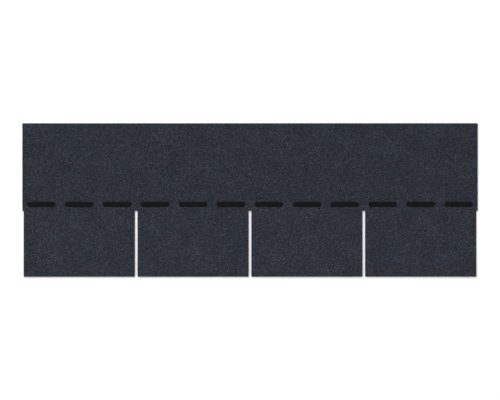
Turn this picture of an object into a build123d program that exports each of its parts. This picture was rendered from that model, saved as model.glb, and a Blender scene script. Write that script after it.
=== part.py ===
from build123d import *
import os

# One four-tab asphalt shingle, lying on its back with the mineral face up.
# A glass mat is soaked and coated in bitumen, surfaced with granules on the face and with
# fine sand on the back, and die-cut to this outline, so the sheet is one solid.
# Frame: +X along the eaves, +Y up the roof slope, from the tabs to the head edge, and +Z out
# of the mineral face. The origin is on the back, in the middle of the outline. Millimetres.

# The sheet
strip_length = 1000.0
strip_height = 337.0
sheet_thickness = 3.0
tab_count = 4
exposure = 145.0  # height of a tab, which is what stays in the weather on a roof

# The slots between the tabs. Each end of the strip has half of one, so that two strips
# that meet end to end leave a slot as wide as the rest.
slot_width = 6.0
slot_root_radius = 2.0
tab_corner_radius = 1.0

# The thermal sealant: rows of bitumen bars just above the slots, under the butt edge of
# the next course.
bars_per_tab = 3
bar_gap = 20.0
bar_width = 12.0
bar_height = 0.8
bar_edge_radius = 0.5
sealant_above_slots = 8.0  # from the slots' roots to the bars' lower side

# The release film, rolled flush into the back behind the sealant. It keeps the sealant of
# the shingle below from sticking in the pack. Its lower edge stays clear of the slots.
film_margin = 6.5  # how far it reaches past the bars, up and down the slope
film_thickness = 0.1

# What follows from these
butt_y = -strip_height / 2
slot_root_y = butt_y + exposure
tab_pitch = strip_length / tab_count
sealant_y = slot_root_y + sealant_above_slots + bar_width / 2
bar_pitch = tab_pitch / bars_per_tab
bar_length = bar_pitch - bar_gap
film_width = bar_width + 2 * film_margin

os.makedirs("parts", exist_ok=True)


# The sheet: its outline less the slots, and a shallow bed in the back for the film
with BuildPart() as shingle_sheet:
    with BuildSketch():
        Rectangle(strip_length, strip_height)
        with Locations((0, (butt_y + slot_root_y) / 2)):
            with GridLocations(tab_pitch, 0, tab_count + 1, 1):
                Rectangle(slot_width, exposure, mode=Mode.SUBTRACT)
    extrude(amount=sheet_thickness)
    tab_corners = shingle_sheet.edges().filter_by(Axis.Z).group_by(Axis.Y)[0]
    fillet(tab_corners, tab_corner_radius)
    # The two outermost corners at that height are the lap's own, not a slot's root
    level_with_roots = shingle_sheet.edges().filter_by(Axis.Z).filter_by_position(
        Axis.Y, slot_root_y, slot_root_y
    )
    fillet(level_with_roots.sort_by(Axis.X)[1:-1], slot_root_radius)
    with BuildSketch():
        with Locations((0, sealant_y)):
            Rectangle(strip_length, film_width)
    extrude(amount=film_thickness, mode=Mode.SUBTRACT)

shingle_sheet.part.label = "shingle_sheet"
export_step(shingle_sheet.part, "parts/shingle_sheet.step")


# The sealant bars, in one row along the strip
with BuildPart() as sealant_bars:
    with BuildSketch(Plane.XY.offset(sheet_thickness)):
        with Locations((0, sealant_y)):
            with GridLocations(bar_pitch, 0, tab_count * bars_per_tab, 1):
                SlotOverall(bar_length, bar_width)
    extrude(amount=bar_height)
    bar_tops = sealant_bars.faces().filter_by(Axis.Z).group_by(Axis.Z)[-1]
    fillet(bar_tops.edges(), bar_edge_radius)

sealant_bars.part.label = "sealant_bars"
export_step(sealant_bars.part, "parts/sealant_bars.step")


# The release film, flush with the back
with BuildPart() as release_film:
    with BuildSketch():
        with Locations((0, sealant_y)):
            Rectangle(strip_length, film_width)
    extrude(amount=film_thickness)

release_film.part.label = "release_film"
export_step(release_film.part, "parts/release_film.step")
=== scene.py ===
"""An asphalt roof shingle: a coated sheet with four tabs, its granules, its sealant and its release film."""

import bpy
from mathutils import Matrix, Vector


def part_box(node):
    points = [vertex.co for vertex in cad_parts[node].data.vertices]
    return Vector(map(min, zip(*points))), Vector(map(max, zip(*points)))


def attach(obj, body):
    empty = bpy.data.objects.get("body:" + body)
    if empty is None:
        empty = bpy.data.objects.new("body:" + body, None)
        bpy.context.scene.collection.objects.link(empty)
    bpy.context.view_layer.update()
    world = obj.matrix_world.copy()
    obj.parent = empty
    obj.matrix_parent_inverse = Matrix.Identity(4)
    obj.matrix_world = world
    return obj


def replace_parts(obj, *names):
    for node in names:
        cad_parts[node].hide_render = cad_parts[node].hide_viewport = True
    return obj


bl_info = {
    "name": "Asphalt Shingle",
    "version": (1, 0, 0),
    "blender": (4, 5, 0),
    "location": "3D View > Sidebar > Shingle",
    "description": "Makes one tabbed asphalt shingle with real granules, laid flat on a pale floor",
    "category": "Mesh",
}

import math

import bmesh
import bpy
import numpy as np
from bpy.props import FloatProperty, FloatVectorProperty, IntProperty, PointerProperty
from mathutils import Vector, noise

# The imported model, in metres. Every place below is worked out from these boxes.
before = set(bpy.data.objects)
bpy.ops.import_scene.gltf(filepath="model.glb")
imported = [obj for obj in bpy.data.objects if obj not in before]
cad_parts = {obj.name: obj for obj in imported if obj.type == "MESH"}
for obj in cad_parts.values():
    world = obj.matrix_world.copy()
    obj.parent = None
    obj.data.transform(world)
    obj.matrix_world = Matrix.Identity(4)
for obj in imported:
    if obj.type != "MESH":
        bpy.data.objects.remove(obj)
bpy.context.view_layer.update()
sheet_low, sheet_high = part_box("shingle_sheet")
bars_low, bars_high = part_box("sealant_bars")
film_low, film_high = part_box("release_film")
hair = 0.00001  # Places nearer than this are the same place


# Settings that a user would change


def length(name, description, default):
    """A length in metres."""
    return FloatProperty(name=name, description=description, default=default, unit="LENGTH", precision=5)


def share(name, description, default):
    """A share of something, as a factor."""
    return FloatProperty(name=name, description=description, default=default, subtype="FACTOR")


def power(name, description, default):
    """A power in watts."""
    return FloatProperty(name=name, description=description, default=default, unit="POWER")


def tint(name, description, default):
    """A linear colour."""
    return FloatVectorProperty(
        name=name, description=description, default=default, subtype="COLOR", size=3, min=0.0, max=2.0
    )


class SheetSettings(bpy.types.PropertyGroup):
    """The coated sheet under the granules."""

    tabs: IntProperty(name="Tabs", description="Number of tabs", default=4, min=1)
    step: length("Mesh step", "Side of the squares that the sheet's faces are cut into", 0.005)
    layers: IntProperty(name="Layers", description="Layers that its thickness is cut into", default=4, min=1)
    edge_cuts: IntProperty(name="Edge cuts", description="Cuts in each mesh step of the outline", default=3)
    bedding: length("Bedding", "How far the asphalt lies under the granules' tops", 0.0006)
    unevenness: length("Unevenness", "How much the asphalt's thickness varies", 0.00012)
    raggedness: length("Raggedness", "How far the cut edges stray in and out", 0.00016)
    tab_lift: length("Tab lift", "The most that a tab's butt edge lies off the floor", 0.0009)
    lap_lift: length("Lap lift", "The most that the head edge lies off the floor", 0.0005)
    chip: length("Chips", "Size of the small chips of stone between the granules", 0.0008)
    mat_height: length("Mat height", "Where the glass mat lies in the thickness", 0.0013)
    mat_thickness: length("Mat thickness", "Thickness of the glass mat", 0.0004)
    asphalt: tint("Asphalt", "Colour of the bitumen", (0.0095, 0.0095, 0.0105))
    mat: tint("Glass mat", "Colour of the mat where it is cut", (0.085, 0.078, 0.066))
    sand: tint("Back sand", "Colour of the fine sand on the back", (0.088, 0.085, 0.082))


class GranuleSettings(bpy.types.PropertyGroup):
    """The crushed stone pressed into the face. The scatter tree's inputs share these names."""

    spacing: length("Spacing", "Least distance between two granules", 0.00132)
    radius: length("Radius", "Mean radius of a granule", 0.00109)
    spread: share("Spread", "How much the granules differ in size", 0.3)
    thickness: share("Thickness", "A granule's thickness to its width", 0.7)
    taper: share("Taper", "How much smaller a granule's top is than its foot", 0.25)
    crushing: share("Crushing", "How far a granule's corners stray, to its radius", 0.24)
    tilt: FloatProperty(
        name="Tilt", description="The most that a granule leans", default=math.radians(15), subtype="ANGLE"
    )
    seat: length("Seat", "Height of a granule's middle over the asphalt", 0.00004)
    trim: share("Trim", "How much of what reaches past the sheet's edge the die cuts off", 0.94)
    patch: length("Patch", "Size of the patches in which the blend of colours drifts", 0.045)
    drift: share("Drift", "How strongly the blend drifts from patch to patch", 1.15)
    clump: length("Clump", "Size of the largest lighter and darker clumps", 0.045)
    clump_shade: share("Clump Shade", "How much lighter or darker a clump is", 1.3)
    warm_edge: share("Warm Edge", "How much warmer the blend is along the butt edge", 0.1)
    warm_reach: length("Warm Reach", "How far that reaches up from the butt edge", 0.05)
    lap_shade: share("Lap Shade", "How much darker the granules of the covered lap are", 0.12)
    lap_fade: length("Lap Fade", "Over what distance they get darker", 0.012)
    blue: tint("Blue", "Slate-blue granules", (0.0425, 0.058, 0.082))
    slate: tint("Slate", "Slate-grey granules", (0.0395, 0.052, 0.074))
    grey: tint("Grey", "Light grey granules", (0.081, 0.088, 0.110))
    steel: tint("Steel", "Dark blue-grey granules", (0.0315, 0.040, 0.059))
    charcoal: tint("Charcoal", "Nearly black granules", (0.016, 0.0185, 0.026))
    umber: tint("Umber", "Warm brown-grey granules", (0.057, 0.050, 0.061))
    seed: IntProperty(name="Seed", description="Changes where the granules lie", default=7)


class SealantSettings(bpy.types.PropertyGroup):
    """The bitumen bars that glue the next course down."""

    count: IntProperty(name="Bars", description="Number of bars along the strip", default=12, min=2)
    gap: length("Gap", "Gap between two bars", 0.020)
    shoulder: length("Shoulder", "How far a bar's rounded edge reaches in", 0.0022)
    sinking: length("Sinking", "How far a bar reaches down into the granules", 0.0009)
    wobble: length("Wobble", "How far a bar's outline and top stray", 0.00035)
    bitumen: tint("Sealant", "Colour of the sealant", (0.005, 0.005, 0.0055))
    dust: tint("Dust", "Colour of the stone dust on the sealant", (0.032, 0.032, 0.033))


class FilmSettings(bpy.types.PropertyGroup):
    """The release film on the back."""

    streak: length("Streak", "Width of the film's lengthwise streaks", 0.002)
    plastic: tint("Film", "Colour of the film over the sanded back", (0.24, 0.25, 0.265))


class StageSettings(bpy.types.PropertyGroup):
    """The floor, the lamps and the camera."""

    margin: share("Margin", "Share of the picture's width left free at both ends together", 0.09)
    lens: FloatProperty(name="Lens", description="Focal length in millimetres", default=100.0, unit="CAMERA")
    ambient: FloatProperty(name="Ambient", description="Strength of the light from all round", default=0.48)
    key_power: power("Key power", "Power of the key lamp in watts", 108.0)
    fill_power: power("Fill power", "Power of the fill lamp in watts", 36.0)
    shadow_reach: length("Shadow reach", "From here outwards the floor turns plain white", 0.8)
    floor_tone: tint("Floor", "The floor's own colour", (0.62, 0.62, 0.62))
    floor_seen: tint("Floor as seen", "The floor's colour to the camera", (1.04, 1.04, 1.04))


def blend_of(granules):
    """The granules' colours with their shares, from the cool end of the blend to the warm end."""
    return (
        ("blue", granules.blue, 0.17),
        ("slate", granules.slate, 0.20),
        ("grey", granules.grey, 0.10),
        ("steel", granules.steel, 0.20),
        ("charcoal", granules.charcoal, 0.15),
        ("umber", granules.umber, 0.18),
    )


def settings_of(group):
    """A group's own settings, without the two entries that every group has."""
    return [entry for entry in group.bl_rna.properties if entry.identifier not in ("rna_type", "name")]


def values_of(group):
    """A group's settings by the names that a user sees."""
    return {setting.name: getattr(group, setting.identifier) for setting in settings_of(group)}


# Nodes, for shaders and geometry alike


def add(tree, kind, inputs=None, **settings):
    """A new node with its settings, and with its inputs set or linked by identifier."""
    made = tree.nodes.new(kind)
    for name, value in settings.items():
        setattr(made, name, value)
    sockets = {socket.identifier: socket for socket in made.inputs}
    for name, value in (inputs or {}).items():
        if isinstance(value, bpy.types.NodeSocket):
            tree.links.new(value, sockets[name])
        else:
            sockets[name].default_value = value
    return made


def out(node, name=None):
    """A node's output of that name, or the first that is in use."""
    return next(socket for socket in node.outputs if socket.enabled and name in (None, socket.name))


def maths(tree, operation, first, second=0.0, third=0.0, clamp=False):
    """The result of one sum."""
    values = {"Value": first, "Value_001": second}
    if operation == "MULTIPLY_ADD":
        values["Value_002"] = third
    return out(add(tree, "ShaderNodeMath", values, operation=operation, use_clamp=clamp))


def vector(tree, x=0.0, y=0.0, z=0.0):
    """A vector from its three parts."""
    return out(add(tree, "ShaderNodeCombineXYZ", {"X": x, "Y": y, "Z": z}))


def part_of(tree, place, axis):
    """One part of a vector: X, Y or Z."""
    return out(add(tree, "ShaderNodeSeparateXYZ", {"Vector": place}), axis)


def vector_maths(tree, operation, first, second):
    """The result of one sum on vectors."""
    inputs = {"Vector": first, "Vector_001": second}
    return out(add(tree, "ShaderNodeVectorMath", inputs, operation=operation))


def ramp(tree, value, low, high, to_low=0.0, to_high=1.0):
    """The value carried smoothly from one range to another."""
    inputs = {"Value": value, "From Min": low, "From Max": high, "To Min": to_low, "To Max": to_high}
    return out(add(tree, "ShaderNodeMapRange", inputs, interpolation_type="SMOOTHSTEP"))


def mixed(tree, factor, first, second, blend="MIX"):
    """One colour mixed with another."""
    inputs = {"Factor_Float": factor, "A_Color": first, "B_Color": second}
    return out(add(tree, "ShaderNodeMix", inputs, data_type="RGBA", blend_type=blend))


def lightened(tree, base, factor):
    """A colour made lighter or darker by a factor that varies over the surface."""
    grey = out(add(tree, "ShaderNodeCombineColor", {"Red": factor, "Green": factor, "Blue": factor}))
    return mixed(tree, 1.0, base, grey, "MULTIPLY")


def grain(tree, place, size, detail=2.0, rough=0.5, along=None):
    """Noise from about 0.3 to 0.7, with grains of that size in metres, drawn out along X if asked."""
    if along is not None:
        place = vector_maths(tree, "MULTIPLY", place, (1.0 / along, 1.0, 1.0))
    scale = maths(tree, "DIVIDE", 1.0, size) if isinstance(size, bpy.types.NodeSocket) else 1.0 / size
    inputs = {"Vector": place, "Scale": scale, "Detail": detail, "Roughness": rough}
    return out(add(tree, "ShaderNodeTexNoise", inputs), "Fac")


def rgba(values, factor=1.0):
    """A colour with full alpha, made lighter or darker if asked."""
    return (*(value * factor for value in values), 1.0)


# Materials


class Finish:
    """A new material with its node tree, its Principled shader and the place on the piece."""

    def __init__(self, name):
        self.material = bpy.data.materials.new(name)
        self.material.use_nodes = True
        self.tree = self.material.node_tree
        self.shader = self.tree.nodes["Principled BSDF"]
        self.place = out(add(self.tree, "ShaderNodeTexCoord"), "Object")

    def dress(self, base, rough, gloss, height, depth, strength=0.8):
        """Links colour, roughness and a bump of that depth in metres, and sets the gloss."""
        self.tree.links.new(base, self.shader.inputs["Base Color"])
        self.tree.links.new(rough, self.shader.inputs["Roughness"])
        self.shader.inputs["Specular IOR Level"].default_value = gloss
        inputs = {"Height": height, "Distance": depth, "Strength": strength}
        self.tree.links.new(out(add(self.tree, "ShaderNodeBump", inputs)), self.shader.inputs["Normal"])
        return self.material


def granule_material(name, base):
    """Ceramic-coated crushed stone: each granule has its own shade, a speckled coat and dull facets."""
    finish = Finish(name)
    tree = finish.tree
    darkest = 0.665  # How light a granule with a shade of zero is, to its colour
    contrast = 0.92  # What a shade of one adds to that
    own = out(add(tree, "ShaderNodeAttribute", attribute_name="shade"), "Fac")
    coat = grain(tree, finish.place, size=0.00035, detail=3.0, rough=0.6)
    lumps = grain(tree, finish.place, size=0.0009)
    light = maths(tree, "MULTIPLY_ADD", own, contrast, darkest)
    speckled = maths(tree, "MULTIPLY", light, ramp(tree, coat, 0.3, 0.7, 0.8, 1.2))
    return finish.dress(
        base=lightened(tree, rgba(base), speckled),
        rough=ramp(tree, coat, 0.35, 0.65, 0.7, 0.92),
        gloss=0.12,
        height=maths(tree, "MULTIPLY_ADD", lumps, 3.0, coat),
        depth=0.00025,
    )


def asphalt_material(sheet, granules):
    """The coated face between the granules: chips and dust of the same stone, stuck in bitumen."""
    finish = Finish("asphalt_face")
    tree = finish.tree
    chip_light = 1.05  # How light a chip is, to a granule of its colour
    lowest = 0.3  # The lowest chip's height, to the highest chip's
    chips = {"Vector": finish.place, "Scale": 1.0 / sheet.chip}
    cells = add(tree, "ShaderNodeTexVoronoi", chips)
    rims = add(tree, "ShaderNodeTexVoronoi", chips, feature="DISTANCE_TO_EDGE")
    flat = ramp(tree, out(rims, "Distance"), 0.04, 0.24)
    lot = out(add(tree, "ShaderNodeSeparateColor", {"Color": out(cells, "Color")}), "Red")
    blend = add(tree, "ShaderNodeValToRGB", {"Fac": lot})
    blend.color_ramp.interpolation = "CONSTANT"
    elements = blend.color_ramp.elements
    start = 0.0
    for index, (_, tone, part) in enumerate(blend_of(granules)):
        element = elements[index] if index < 2 else elements.new(start)
        element.position = start
        element.color = rgba(tone, chip_light)
        start += part
    raised = maths(tree, "MULTIPLY", flat, maths(tree, "MULTIPLY_ADD", lot, 1.0 - lowest, lowest))
    return finish.dress(
        base=mixed(tree, flat, rgba(sheet.asphalt), out(blend, "Color")),
        rough=ramp(tree, lot, 0.0, 1.0, 0.75, 0.92),
        gloss=0.12,
        height=maths(tree, "SUBTRACT", raised, out(cells, "Distance")),
        depth=0.0004,
        strength=0.9,
    )


def cut_material(sheet):
    """The die-cut edge: bitumen full of stone dust, with the glass mat as a paler fibrous line."""
    finish = Finish("cut_edge")
    tree = finish.tree
    squeezed = vector_maths(tree, "MULTIPLY", finish.place, (1.0, 1.0, 5.0))
    fibres = grain(tree, squeezed, size=0.0011, detail=3.0, rough=0.7)
    filler = grain(tree, finish.place, size=0.00022, rough=0.6)
    off_mat = maths(tree, "SUBTRACT", part_of(tree, finish.place, "Z"), sheet.mat_height)
    thick = sheet.mat_thickness
    line = ramp(tree, maths(tree, "ABSOLUTE", off_mat), thick * 0.3, thick * 0.75, 1.0, 0.0)
    shown = maths(tree, "MULTIPLY", line, ramp(tree, fibres, 0.46, 0.64))
    dust = rgba(sheet.sand, 0.3)
    dusty = mixed(tree, ramp(tree, filler, 0.5, 0.72), rgba(sheet.asphalt), dust)
    return finish.dress(
        base=mixed(tree, shown, dusty, rgba(sheet.mat)),
        rough=ramp(tree, filler, 0.35, 0.65, 0.6, 0.92),
        gloss=0.15,
        height=maths(tree, "MULTIPLY_ADD", fibres, 1.5, filler),
        depth=0.0002,
    )


def back_material(sheet):
    """The back: fine sand rolled into the bitumen, thinner in places and along the roller's marks."""
    finish = Finish("sanded_back")
    tree = finish.tree
    sand = grain(tree, finish.place, size=0.00045, detail=3.0, rough=0.7)
    patches = grain(tree, finish.place, size=0.03, detail=4.0, rough=0.6)
    rolled = grain(tree, finish.place, size=0.005, detail=3.0, rough=0.6, along=8.0)
    patchy = maths(tree, "ADD", sand, ramp(tree, patches, 0.3, 0.7, -0.045, 0.045))
    cover = maths(tree, "ADD", patchy, ramp(tree, rolled, 0.3, 0.7, -0.025, 0.025))
    sunk = rgba(sheet.sand, 0.3)
    return finish.dress(
        base=mixed(tree, ramp(tree, cover, 0.3, 0.62), sunk, rgba(sheet.sand)),
        rough=ramp(tree, sand, 0.35, 0.65, 0.7, 0.95),
        gloss=0.3,
        height=maths(tree, "MULTIPLY_ADD", rolled, 0.6, sand),
        depth=0.0003,
    )


def sealant_material(sealant):
    """Polymer bitumen, satin where it flowed, with dimples and a little stone dust."""
    finish = Finish("sealant_bitumen")
    tree = finish.tree
    flow = grain(tree, finish.place, size=0.004, detail=1.0)
    dimple = grain(tree, finish.place, size=0.0011, detail=1.0)
    dust = grain(tree, finish.place, size=0.0003, rough=0.7)
    dusty = maths(tree, "MULTIPLY", dust, ramp(tree, flow, 0.35, 0.65, 0.8, 1.1))
    return finish.dress(
        base=mixed(tree, ramp(tree, dusty, 0.52, 0.7, 0.0, 0.25), rgba(sealant.bitumen), rgba(sealant.dust)),
        rough=ramp(tree, flow, 0.3, 0.7, 0.28, 0.5),
        gloss=0.04,
        height=maths(tree, "MULTIPLY_ADD", flow, 3.0, dimple),
        depth=0.0002,
    )


def film_material(film):
    """Thin drawn plastic film: silvery, with fine streaks along the strip and the sand telling through."""
    finish = Finish("drawn_film")
    tree = finish.tree
    streaks = grain(tree, finish.place, size=film.streak, detail=3.0, rough=0.6, along=50.0)
    crinkles = grain(tree, finish.place, size=0.005, detail=4.0, rough=0.6)
    sand = grain(tree, finish.place, size=0.0005, rough=0.6)
    streaky = ramp(tree, streaks, 0.35, 0.65, 0.82, 1.12)
    sandy = ramp(tree, sand, 0.3, 0.7, 0.9, 1.06)
    return finish.dress(
        base=lightened(tree, rgba(film.plastic), maths(tree, "MULTIPLY", streaky, sandy)),
        rough=ramp(tree, streaks, 0.3, 0.7, 0.16, 0.34),
        gloss=0.5,
        height=maths(tree, "ADD", crinkles, streaks),
        depth=0.0002,
        strength=0.35,
    )


def seen_directly(tree):
    """One for rays from the camera, reflections and see-through things, which see the background white."""
    path = add(tree, "ShaderNodeLightPath")
    seen = maths(tree, "MAXIMUM", out(path, "Is Camera Ray"), out(path, "Is Glossy Ray"))
    return maths(tree, "MAXIMUM", seen, out(path, "Is Transmission Ray"))


def floor_material(stage):
    """A pale floor that the camera sees white, apart from the shade near the object."""
    finish = Finish("pale_floor")
    tree = finish.tree
    tree.nodes.remove(finish.shader)
    seen = seen_directly(tree)
    tone = mixed(tree, seen, rgba(stage.floor_tone), rgba(stage.floor_seen))
    shaded = out(add(tree, "ShaderNodeBsdfDiffuse", {"Color": tone}))
    plain = out(add(tree, "ShaderNodeEmission", {"Color": rgba((1.0, 1.0, 1.0)), "Strength": 1.0}))
    away = out(add(tree, "ShaderNodeVectorMath", {"Vector": finish.place}, operation="LENGTH"), "Value")
    far = ramp(tree, away, stage.shadow_reach, 2.0 * stage.shadow_reach)
    both = {"Fac": maths(tree, "MULTIPLY", far, seen), "Shader": shaded, "Shader_001": plain}
    surface = out(add(tree, "ShaderNodeMixShader", both))
    tree.links.new(surface, tree.nodes["Material Output"].inputs["Surface"])
    return finish.material


# Geometry node trees


def new_tree(name, inputs):
    """A geometry tree, and the sockets of its inputs by name. The inputs are listed by their kind."""
    tree = bpy.data.node_groups.new(name, "GeometryNodeTree")
    for kind, names in inputs.items():
        for label in names:
            tree.interface.new_socket(label, in_out="INPUT", socket_type=f"NodeSocket{kind}")
    tree.interface.new_socket("Geometry", in_out="OUTPUT", socket_type="NodeSocketGeometry")
    return tree, {socket.name: socket for socket in add(tree, "NodeGroupInput").outputs if socket.name}


def end_tree(tree, geometry, material):
    """Ends the tree in Realize Instances and Set Material."""
    real = out(add(tree, "GeometryNodeRealizeInstances", {"Geometry": geometry}))
    dressed = out(add(tree, "GeometryNodeSetMaterial", {"Geometry": real, "Material": material}))
    tree.links.new(dressed, add(tree, "NodeGroupOutput").inputs[0])


def grown(start, tree, values, name):
    """What a tree makes of a mesh, as a plain mesh. The tree's inputs are set by their identifiers."""
    thing = bpy.data.objects.new(name, start)
    bpy.context.scene.collection.objects.link(thing)
    modifier = thing.modifiers.new("nodes", "NODES")
    modifier.node_group = tree
    for item in tree.interface.items_tree:
        if item.in_out == "INPUT" and item.name in values:
            modifier[item.identifier] = values[item.name]
    bpy.context.view_layer.update()
    evaluated = thing.evaluated_get(bpy.context.evaluated_depsgraph_get())
    mesh = bpy.data.meshes.new_from_object(evaluated)
    mesh.name = name
    bpy.data.objects.remove(thing)
    bpy.data.meshes.remove(start)
    if not mesh.polygons:
        raise RuntimeError(f"the node tree made no faces for {name}")
    if mesh.materials[0] is None:
        mesh.materials.pop(index=0)
    mesh.polygons.foreach_set("material_index", [0] * len(mesh.polygons))
    return mesh


def dice(tree, seed, throw, low, high, kind="FLOAT", each=None):
    """A random value in the range for each point. Each throw is its own, from the same seed."""
    names = {"FLOAT": ("Min_001", "Max_001"), "FLOAT_VECTOR": ("Min", "Max")}[kind]
    inputs = {"Seed": maths(tree, "ADD", seed, float(throw)), names[0]: low, names[1]: high}
    if each is not None:
        inputs["ID"] = each
    return out(add(tree, "FunctionNodeRandomValue", inputs, data_type=kind))


def stored(tree, geometry, name, value, kind, domain="POINT"):
    """The geometry with a named attribute."""
    inputs = {"Geometry": geometry, "Name": name, "Value": value}
    return out(add(tree, "GeometryNodeStoreNamedAttribute", inputs, data_type=kind, domain=domain))


def moved(tree, geometry, offset):
    """The geometry with each point moved."""
    return out(add(tree, "GeometryNodeSetPosition", {"Geometry": geometry, "Offset": offset}))


def scattered(tree, given):
    """Points all over the bed, none nearer to another than the spacing."""
    spacing = given["Spacing"]
    # Four tries in each square as wide as the spacing, of which those too near another drop out
    tries = maths(tree, "DIVIDE", 4.0, maths(tree, "MULTIPLY", spacing, spacing))
    inputs = {"Mesh": given["Bed"], "Distance Min": spacing, "Density Max": tries, "Seed": given["Seed"]}
    scatter = add(tree, "GeometryNodeDistributePointsOnFaces", inputs, distribute_method="POISSON")
    return out(scatter, "Points")


def of_one_colour(tree, given, points, place, height):
    """The points whose lot falls to the colour. Lots drift in patches, and are warmer at the butt edge."""
    patches = maths(tree, "SUBTRACT", grain(tree, place, given["Patch"], detail=3.0, along=1.6), 0.5)
    reach = maths(tree, "ADD", given["Butt Edge"], given["Warm Reach"])
    warmth = ramp(tree, height, given["Butt Edge"], reach, given["Warm Edge"], 0.0)
    shift = maths(tree, "MULTIPLY_ADD", patches, given["Drift"], warmth)
    lot = maths(tree, "ADD", dice(tree, given["Seed"], 1, 0.0, 1.0), shift, clamp=True)
    above = out(add(tree, "FunctionNodeCompare", {"A": lot, "B": given["From"]}, operation="GREATER_EQUAL"))
    below = out(add(tree, "FunctionNodeCompare", {"A": lot, "B": given["To"]}, operation="LESS_THAN"))
    both = out(add(tree, "FunctionNodeBooleanMath", {"Boolean": above, "Boolean_001": below}))
    drawn = add(tree, "GeometryNodeSeparateGeometry", {"Geometry": points, "Selection": both})
    return out(drawn, "Selection")


def shade_of(tree, given, place, height):
    """A granule's shade. It comes in clumps, and is darker on the lap that the next courses cover."""
    lap_end = maths(tree, "ADD", given["Lap Edge"], given["Lap Fade"])
    lap = ramp(tree, height, given["Lap Edge"], lap_end, 0.0, given["Lap Shade"])
    clumps = maths(tree, "SUBTRACT", grain(tree, place, given["Clump"], detail=4.0, rough=0.65), 0.5)
    own = maths(tree, "SUBTRACT", dice(tree, given["Seed"], 2, 0.0, 1.0), lap)
    return maths(tree, "MULTIPLY_ADD", clumps, given["Clump Shade"], own)


def plain_stone(tree, given, place):
    """An eight-sided stone with a radius of one, which lies on a side and is smaller at its top."""
    stone = out(add(tree, "GeometryNodeMeshUVSphere", {"Segments": 4, "Rings": 2, "Radius": 1.0}), "Mesh")
    side_down = (math.radians(45.0), -math.atan(math.sqrt(0.5)), 0.0)
    stone = out(add(tree, "GeometryNodeTransform", {"Geometry": stone, "Rotation": side_down}))
    above = maths(tree, "GREATER_THAN", part_of(tree, place, "Z"), 0.0)
    inwards = maths(tree, "MULTIPLY", above, maths(tree, "SUBTRACT", 0.0, given["Taper"]))
    stone = moved(tree, stone, vector_maths(tree, "MULTIPLY", place, vector(tree, inwards, inwards)))
    return stored(tree, stone, "corner", place, "FLOAT_VECTOR")


def stones_on(tree, given, points, stone):
    """A stone on each point, with its own size, lean and turn and its corners moved."""
    seed = given["Seed"]
    least = maths(tree, "SUBTRACT", 1.0, given["Spread"])
    most = maths(tree, "ADD", 1.0, given["Spread"])
    radius = maths(tree, "MULTIPLY", given["Radius"], dice(tree, seed, 3, least, most))
    thick = maths(tree, "MULTIPLY", radius, given["Thickness"])
    size = vector(
        tree,
        x=maths(tree, "MULTIPLY", radius, dice(tree, seed, 4, 0.85, 1.25)),
        y=maths(tree, "MULTIPLY", radius, dice(tree, seed, 5, 0.75, 1.1)),
        z=maths(tree, "MULTIPLY", thick, dice(tree, seed, 6, 0.8, 1.2)),
    )
    lean = maths(tree, "SUBTRACT", 0.0, given["Tilt"])
    low = vector(tree, lean, lean)
    high = vector(tree, given["Tilt"], given["Tilt"], math.tau)
    angles = dice(tree, seed, 7, low, high, "FLOAT_VECTOR")
    turn = out(add(tree, "FunctionNodeEulerToRotation", {"Euler": angles}))
    inputs = {"Points": points, "Instance": stone, "Scale": size, "Rotation": turn}
    stones = out(add(tree, "GeometryNodeInstanceOnPoints", inputs))
    stones = out(add(tree, "GeometryNodeRealizeInstances", {"Geometry": stones}))
    far = maths(tree, "MULTIPLY", given["Radius"], given["Crushing"])
    near = maths(tree, "SUBTRACT", 0.0, far)
    corner = out(add(tree, "GeometryNodeInputIndex"))
    low = vector(tree, near, near, maths(tree, "MULTIPLY", near, 0.5))
    high = vector(tree, far, far, maths(tree, "MULTIPLY", far, 0.5))
    return moved(tree, stones, dice(tree, seed, 8, low, high, "FLOAT_VECTOR", corner))


def trimmed(tree, given, stones, place):
    """The stones with what reaches past the bed's outline pushed back, as the die cuts it off."""
    to_bed = add(tree, "GeometryNodeProximity", {"Target": given["Bed"]}, target_element="FACES")
    past = vector_maths(tree, "SUBTRACT", out(to_bed, "Position"), place)
    level = vector(tree, given["Trim"], given["Trim"])
    return moved(tree, stones, vector_maths(tree, "MULTIPLY", past, level))


def with_atlas(tree, stones, side):
    """The stones with a UV map in which each has a square of its own, in a grid of that many a side."""
    baked_through = "OFBake"  # The name of the UV map that holds each stone's square
    reach = 0.42  # How far a stone reaches from the middle of its square, to the square's side

    def kept(name, kind):
        """The attribute of that name, as stored earlier in the tree."""
        return out(add(tree, "GeometryNodeInputNamedAttribute", {"Name": name}, data_type=kind), "Attribute")

    def in_square(start, offset):
        """Where a corner lies in the map along one side, from its square's start."""
        middle = maths(tree, "ADD", start, 0.5)
        return maths(tree, "DIVIDE", maths(tree, "MULTIPLY_ADD", offset, reach, middle), side)

    corner = kept("corner", "FLOAT_VECTOR")
    cell = kept("cell", "INT")
    column = maths(tree, "FLOORED_MODULO", cell, side)
    row = maths(tree, "FLOOR", maths(tree, "DIVIDE", cell, side))
    spot = vector(
        tree, in_square(column, part_of(tree, corner, "X")), in_square(row, part_of(tree, corner, "Y"))
    )
    stones = stored(tree, stones, baked_through, spot, "FLOAT2", "CORNER")
    for name in ("corner", "cell"):
        stones = out(add(tree, "GeometryNodeRemoveAttribute", {"Geometry": stones, "Name": name}))
    return stones


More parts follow.
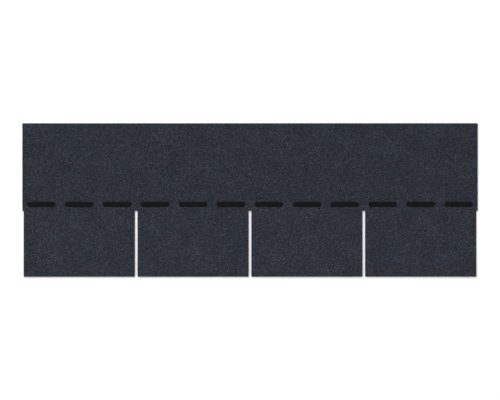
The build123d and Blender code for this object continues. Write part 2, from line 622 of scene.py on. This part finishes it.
def stone_tree():
    """Scatters one colour of granules over a bed. All colours share a seed, so no two lie in one place."""
    tree, given = new_tree("granule_scatter", {
        "Geometry": ("Bed",),
        "Float": (
            "Spacing", "Radius", "Spread", "Thickness", "Taper", "Crushing", "Tilt", "Seat", "Trim", "Patch",
            "Drift", "Clump", "Clump Shade", "Warm Edge", "Warm Reach", "Lap Shade", "Lap Fade",
            "Butt Edge", "Lap Edge", "From", "To",
        ),
        "Int": ("Seed",),
        "Material": ("Material",),
    })
    place = out(add(tree, "GeometryNodeInputPosition"))
    height = part_of(tree, place, "Y")
    points = of_one_colour(tree, given, scattered(tree, given), place, height)
    points = stored(tree, points, "shade", shade_of(tree, given, place, height), "FLOAT")
    points = stored(tree, points, "cell", out(add(tree, "GeometryNodeInputIndex")), "INT")
    size = add(tree, "GeometryNodeAttributeDomainSize", {"Geometry": points}, component="POINTCLOUD")
    side = maths(tree, "CEIL", maths(tree, "SQRT", out(size, "Point Count")))
    points = moved(tree, points, vector(tree, z=given["Seat"]))
    stones = stones_on(tree, given, points, plain_stone(tree, given, place))
    stones = trimmed(tree, given, stones, place)
    stones = with_atlas(tree, stones, side)
    flat = {"Geometry": stones, "Shade Smooth": False}
    end_tree(tree, out(add(tree, "GeometryNodeSetShadeSmooth", flat)), given["Material"])
    return tree


def bar_tree():
    """Repeats one sealant bar along the strip, and lets each flow a little."""
    tree, given = new_tree("sealant_row", {
        "Geometry": ("Bar",),
        "Int": ("Bars",),
        "Float": ("First", "Pitch", "Line", "Wobble"),
        "Material": ("Material",),
    })
    start = vector(tree, given["First"], given["Line"])
    inputs = {"Count": given["Bars"], "Start Location": start, "Offset": vector(tree, given["Pitch"])}
    row = out(add(tree, "GeometryNodeMeshLine", inputs))
    bars = out(add(tree, "GeometryNodeInstanceOnPoints", {"Points": row, "Instance": given["Bar"]}))
    bars = out(add(tree, "GeometryNodeRealizeInstances", {"Geometry": bars}))
    place = out(add(tree, "GeometryNodeInputPosition"))
    # Broad waves move the outline more than the top, and fine ones move all alike
    for size, reach in ((0.009, (4.0, 4.0, 1.0)), (0.0022, (1.0, 1.0, 1.0))):
        flow = add(tree, "ShaderNodeTexNoise", {"Vector": place, "Scale": 1.0 / size, "Detail": 1.0})
        centred = vector_maths(tree, "SUBTRACT", out(flow, "Color"), (0.5, 0.5, 0.5))
        wave = vector_maths(tree, "MULTIPLY", centred, reach)
        amount = vector(tree, given["Wobble"], given["Wobble"], given["Wobble"])
        bars = moved(tree, bars, vector_maths(tree, "MULTIPLY", wave, amount))
    end_tree(tree, bars, given["Material"])
    return tree


# Meshes


def new_piece(name, mesh):
    """An object for a finished mesh, which rides on the shingle."""
    piece = bpy.data.objects.new(name, mesh)
    bpy.context.scene.collection.objects.link(piece)
    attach(piece, "root")
    return piece


def cut_along(shape, axis, low, high, count):
    """Cuts every face of the mesh into that many even steps along an axis."""
    normal = Vector((0.0, 0.0, 0.0))
    normal[axis] = 1.0
    for index in range(1, count):
        place = normal * (low + (high - low) * index / count)
        everything = shape.verts[:] + shape.edges[:] + shape.faces[:]
        bmesh.ops.bisect_plane(shape, geom=everything, dist=hair, plane_co=place, plane_no=normal)


def is_wall(face):
    """Whether a face of the sheet is on its cut edge, which is steeper than 45 degrees."""
    return abs(face.normal.z) < math.sqrt(0.5)


def sheet_shape(sheet):
    """The sheet as in the frame, cut into squares and layers, with finer steps along its outline."""
    shape = bmesh.new()
    shape.from_mesh(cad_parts["shingle_sheet"].data)
    bmesh.ops.remove_doubles(shape, verts=shape.verts, dist=hair)
    bmesh.ops.dissolve_limit(shape, angle_limit=math.radians(0.5), verts=shape.verts, edges=shape.edges)
    size = sheet_high - sheet_low
    for axis, count in enumerate((round(size.x / sheet.step), round(size.y / sheet.step), sheet.layers)):
        cut_along(shape, axis, sheet_low[axis], sheet_high[axis], count)
    shape.normal_update()
    along_outline = [
        edge for edge in shape.edges
        if any(is_wall(face) for face in edge.link_faces)
        and abs(edge.verts[0].co.z - edge.verts[1].co.z) < hair
        and edge.calc_length() > sheet.step / 2
    ]
    bmesh.ops.subdivide_edges(shape, edges=along_outline, cuts=sheet.edge_cuts, use_grid_fill=True)
    shape.normal_update()
    return shape


def lift_at(x, y, sheet):
    """How far the sheet lies off the floor there: each tab, and the head edge, curls up in its own way."""
    if y < film_low.y:
        reach = (film_low.y - y) / (film_low.y - sheet_low.y)
        across = (x - sheet_low.x) / (sheet_high.x - sheet_low.x) * sheet.tabs
        # The noise is read a few steps further on for each tab, so that no two curl alike
        skipped = 5.0 * math.floor(across)
        sway = noise.noise(Vector((across + skipped, 0.3, 0.7)))
        return sheet.tab_lift * reach**2 * (0.5 + 0.5 * sway)
    if y > film_high.y:
        reach = (y - film_high.y) / (sheet_high.y - film_high.y)
        sway = noise.noise(Vector((3.0 * x, 1.5 * y, 0.1)))
        return sheet.lap_lift * reach**2 * (0.5 + 0.5 * sway)
    return 0.0


def shape_sheet(shape, sheet):
    """Sinks the face to the granules' bed, makes it and the cut edges uneven, and lets the sheet curl."""
    swell = 0.011  # Size of the low swells in the asphalt
    tear = 0.004  # Size of the coarse tears in the cut edge
    nick = 0.0015  # Size of the fine ones
    nick_share = 0.6  # Their depth, to the coarse ones'
    for corner in shape.verts:
        spot = corner.co.copy()
        if spot.z > film_high.z + hair:
            corner.co.z *= 1.0 - sheet.bedding / sheet_high.z
        if spot.z > sheet_high.z - hair:
            corner.co.z += sheet.unevenness * noise.noise(spot / swell)
        stray = sheet.raggedness * (noise.noise(spot / tear) + nick_share * noise.noise(spot / nick))
        corner.co.x += corner.normal.x * stray
        corner.co.y += corner.normal.y * stray
        corner.co.z += lift_at(spot.x, spot.y, sheet)


def bar_row(sealant):
    """The middle of the first bar and the pitch along X, and half a bar's length and width."""
    pitch = (bars_high.x - bars_low.x + sealant.gap) / sealant.count
    half_length = (pitch - sealant.gap) / 2
    return bars_low.x + half_length, pitch, half_length, (bars_high.y - bars_low.y) / 2


def bed_of(mesh, sealant):
    """The upper face of the sheet alone, less what the sealant covers."""
    first, pitch, half_length, half_width = bar_row(sealant)
    line = (bars_low.y + bars_high.y) / 2
    shape = bmesh.new()
    shape.from_mesh(mesh)
    left_out = []
    for face in shape.faces:
        middle = face.calc_center_median()
        bar = min(max(round((middle.x - first) / pitch), 0), sealant.count - 1)
        is_under_bar = (
            abs(middle.x - first - bar * pitch) < half_length - sealant.shoulder
            and abs(middle.y - line) < half_width - sealant.shoulder
        )
        if is_wall(face) or face.normal.z < 0.0 or is_under_bar:
            left_out.append(face)
    bmesh.ops.delete(shape, geom=left_out, context="FACES")
    bed = bpy.data.meshes.new("bed")
    shape.to_mesh(bed)
    shape.free()
    return bed


def round_ended(half_straight, radius, straight_steps=42, round_steps=12):
    """Points round a flat shape with two straight sides and two round ends."""
    side = [(half_straight * at, -radius) for at in np.linspace(-1, 1, straight_steps + 1)]
    turns = np.linspace(-math.pi / 2, math.pi / 2, round_steps + 1)[1:-1]
    end = [(half_straight + radius * math.cos(turn), radius * math.sin(turn)) for turn in turns]
    return side + end + [(-x, -y) for x, y in side + end]


def bar_mesh(half_length, half_width, low, high, shoulder, shoulder_steps=5, top_steps=4, spine=0.0004):
    """One sealant bar about the origin: loops that rise over its shoulder and draw in to its spine."""
    rise = min(shoulder, 0.7 * (high - low))
    loops = [(0.0, low)]
    for turn in np.linspace(0, math.pi / 2, shoulder_steps + 1):
        loops.append((shoulder * (1 - math.cos(turn)), high - rise * (1 - math.sin(turn))))
    for inset in np.linspace(shoulder, half_width - spine, top_steps + 1)[1:]:
        loops.append((inset, high))
    shape = bmesh.new()
    rings = [
        [shape.verts.new((x, y, z)) for x, y in round_ended(half_length - half_width, half_width - inset)]
        for inset, z in loops
    ]
    for under, over in zip(rings[:-1], rings[1:], strict=True):
        for index in range(len(under)):
            shape.faces.new((under[index - 1], under[index], over[index], over[index - 1]))
    shape.faces.new(reversed(rings[0]))
    shape.faces.new(rings[-1])
    bmesh.ops.recalc_face_normals(shape, faces=shape.faces)
    mesh = bpy.data.meshes.new("bar")
    shape.to_mesh(mesh)
    shape.free()
    return mesh


# Operators


class SHINGLE_OT_press_sheet(bpy.types.Operator):
    """Make the coated sheet with its tabs and slots"""

    bl_idname = "shingle.press_sheet"
    bl_label = "Press the Sheet"
    bl_options = {"REGISTER", "UNDO"}

    def execute(self, context):
        sheet = context.scene.shingle_sheet
        shape = sheet_shape(sheet)
        for face in shape.faces:
            face.material_index = 1 if is_wall(face) else 0 if face.normal.z > 0 else 2
        shape_sheet(shape, sheet)
        mesh = bpy.data.meshes.new("coated_sheet")
        shape.to_mesh(mesh)
        shape.free()
        mesh.materials.append(asphalt_material(sheet, context.scene.shingle_granules))
        mesh.materials.append(cut_material(sheet))
        mesh.materials.append(back_material(sheet))
        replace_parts(new_piece("coated_sheet", mesh), "shingle_sheet")
        return {"FINISHED"}


class SHINGLE_OT_press_granules(bpy.types.Operator):
    """Press granules of six colours into the sheet's face"""

    bl_idname = "shingle.press_granules"
    bl_label = "Press the Granules"
    bl_options = {"REGISTER", "UNDO"}

    def execute(self, context):
        granules = context.scene.shingle_granules
        under = bpy.data.objects.get("coated_sheet")
        if under is None:
            raise RuntimeError("press the sheet first")
        tree = stone_tree()
        bed = bed_of(under.data, context.scene.shingle_sealant)
        values = values_of(granules) | {"Butt Edge": sheet_low.y, "Lap Edge": bars_low.y}
        values["To"] = 0.0
        blend = blend_of(granules)
        for name, tone, part in blend:
            values["From"] = values["To"]
            values["To"] += part
            if name == blend[-1][0]:
                # Lots stop at one, and the last colour takes those that do
                values["To"] = 2.0
            values["Material"] = granule_material(f"granules_{name}", tone)
            mesh = grown(bed.copy(), tree, values, f"granules_{name}")
            new_piece(f"granules_{name}", mesh)
        bpy.data.meshes.remove(bed)
        return {"FINISHED"}


class SHINGLE_OT_lay_sealant(bpy.types.Operator):
    """Lay the row of sealant bars over the slots"""

    bl_idname = "shingle.lay_sealant"
    bl_label = "Lay the Sealant"
    bl_options = {"REGISTER", "UNDO"}

    def execute(self, context):
        sealant = context.scene.shingle_sealant
        first, pitch, half_length, half_width = bar_row(sealant)
        bar = bar_mesh(
            half_length, half_width, sheet_high.z - sealant.sinking, bars_high.z, sealant.shoulder
        )
        values = values_of(sealant) | {
            "First": first,
            "Pitch": pitch,
            "Line": (bars_low.y + bars_high.y) / 2,
            "Material": sealant_material(sealant),
        }
        mesh = grown(bar, bar_tree(), values, "sealant_beads")
        mesh.shade_smooth()
        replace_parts(new_piece("sealant_beads", mesh), "sealant_bars")
        return {"FINISHED"}


class SHINGLE_OT_dress_film(bpy.types.Operator):
    """Give the release film on the back its finish"""

    bl_idname = "shingle.dress_film"
    bl_label = "Dress the Release Film"
    bl_options = {"REGISTER", "UNDO"}

    def execute(self, context):
        material = film_material(context.scene.shingle_film)
        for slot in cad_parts["release_film"].material_slots:
            slot.material = material
        return {"FINISHED"}


class SHINGLE_OT_set_stage(bpy.types.Operator):
    """Set the floor, the lamps and the camera"""

    bl_idname = "shingle.set_stage"
    bl_label = "Set the Stage"
    bl_options = {"REGISTER", "UNDO"}

    def execute(self, context):
        stage = context.scene.shingle_stage
        self.lay_floor(context, stage)
        self.light_room(context, stage)
        self.hang_lamp(context, "key", stage.key_power, size=2.4, spot=(-1.5, 2.3, 2.4))
        self.hang_lamp(context, "fill", stage.fill_power, size=3.0, spot=(2.2, -1.6, 2.0))
        self.aim_camera(context, stage)
        context.scene.view_settings.view_transform = "Standard"
        return {"FINISHED"}

    def lay_floor(self, context, stage, half=30.0, clearance=0.0002):
        """Lays a floor that reaches far past the view, just under the object."""
        mesh = bpy.data.meshes.new("floor")
        corners = ((-half, -half), (half, -half), (half, half), (-half, half))
        mesh.from_pydata([(x, y, -clearance) for x, y in corners], [], [(0, 1, 2, 3)])
        mesh.materials.append(floor_material(stage))
        floor = bpy.data.objects.new("floor", mesh)
        context.scene.collection.objects.link(floor)

    def light_room(self, context, stage):
        """Gives the world an even light, which is seen as plain white."""
        world = bpy.data.worlds.new("studio")
        world.use_nodes = True
        tree = world.node_tree
        shader = tree.nodes["Background"]
        shader.inputs["Color"].default_value = rgba((1.0, 1.0, 1.0))
        strength = ramp(tree, seen_directly(tree), 0.0, 1.0, stage.ambient, 1.0)
        tree.links.new(strength, shader.inputs["Strength"])
        context.scene.world = world

    def hang_lamp(self, context, name, power, size, spot):
        """Hangs a square soft lamp there, turned to the origin."""
        lamp = bpy.data.lights.new(name, "AREA")
        lamp.energy = power
        lamp.size = size
        hung = bpy.data.objects.new(name, lamp)
        hung.location = spot
        hung.rotation_mode = "QUATERNION"
        hung.rotation_quaternion = Vector(spot).to_track_quat("Z", "Y")
        context.scene.collection.objects.link(hung)

    def aim_camera(self, context, stage):
        """Looks straight down on the strip, which fills the picture's width less the margin."""
        lens = bpy.data.cameras.new("camera")
        lens.lens = stage.lens
        lens.clip_end = 100.0
        width = (sheet_high.x - sheet_low.x) / (1.0 - stage.margin)
        camera = bpy.data.objects.new("camera", lens)
        camera.location = (0.0, 0.0, width * stage.lens / lens.sensor_width)
        context.scene.collection.objects.link(camera)
        context.scene.camera = camera


class SHINGLE_PT_sidebar(bpy.types.Panel):
    """The shingle's steps and their settings"""

    bl_idname = "SHINGLE_PT_sidebar"
    bl_label = "Asphalt Shingle"
    bl_space_type = "VIEW_3D"
    bl_region_type = "UI"
    bl_category = "Shingle"

    def draw(self, context):
        for operator, name, _ in STEPS:
            box = self.layout.box()
            box.operator(operator.bl_idname)
            group = getattr(context.scene, name)
            for setting in settings_of(group):
                box.prop(group, setting.identifier)


# Each step of the making, with its settings and their name in the scene
STEPS = (
    (SHINGLE_OT_press_sheet, "shingle_sheet", SheetSettings),
    (SHINGLE_OT_press_granules, "shingle_granules", GranuleSettings),
    (SHINGLE_OT_lay_sealant, "shingle_sealant", SealantSettings),
    (SHINGLE_OT_dress_film, "shingle_film", FilmSettings),
    (SHINGLE_OT_set_stage, "shingle_stage", StageSettings),
)


def register():
    """Registers the steps with their settings, and the sidebar."""
    for operator, name, settings in STEPS:
        bpy.utils.register_class(settings)
        setattr(bpy.types.Scene, name, PointerProperty(type=settings))
        bpy.utils.register_class(operator)
    bpy.utils.register_class(SHINGLE_PT_sidebar)


def unregister():
    """Takes back what register did, from the last to the first."""
    bpy.utils.unregister_class(SHINGLE_PT_sidebar)
    for operator, name, settings in reversed(STEPS):
        bpy.utils.unregister_class(operator)
        delattr(bpy.types.Scene, name)
        bpy.utils.unregister_class(settings)


def main():
    """Makes the whole shingle."""
    register()
    bpy.ops.shingle.press_sheet()
    bpy.ops.shingle.press_granules()
    bpy.ops.shingle.lay_sealant()
    bpy.ops.shingle.dress_film()
    bpy.ops.shingle.set_stage()


if __name__ == "__main__":
    main()
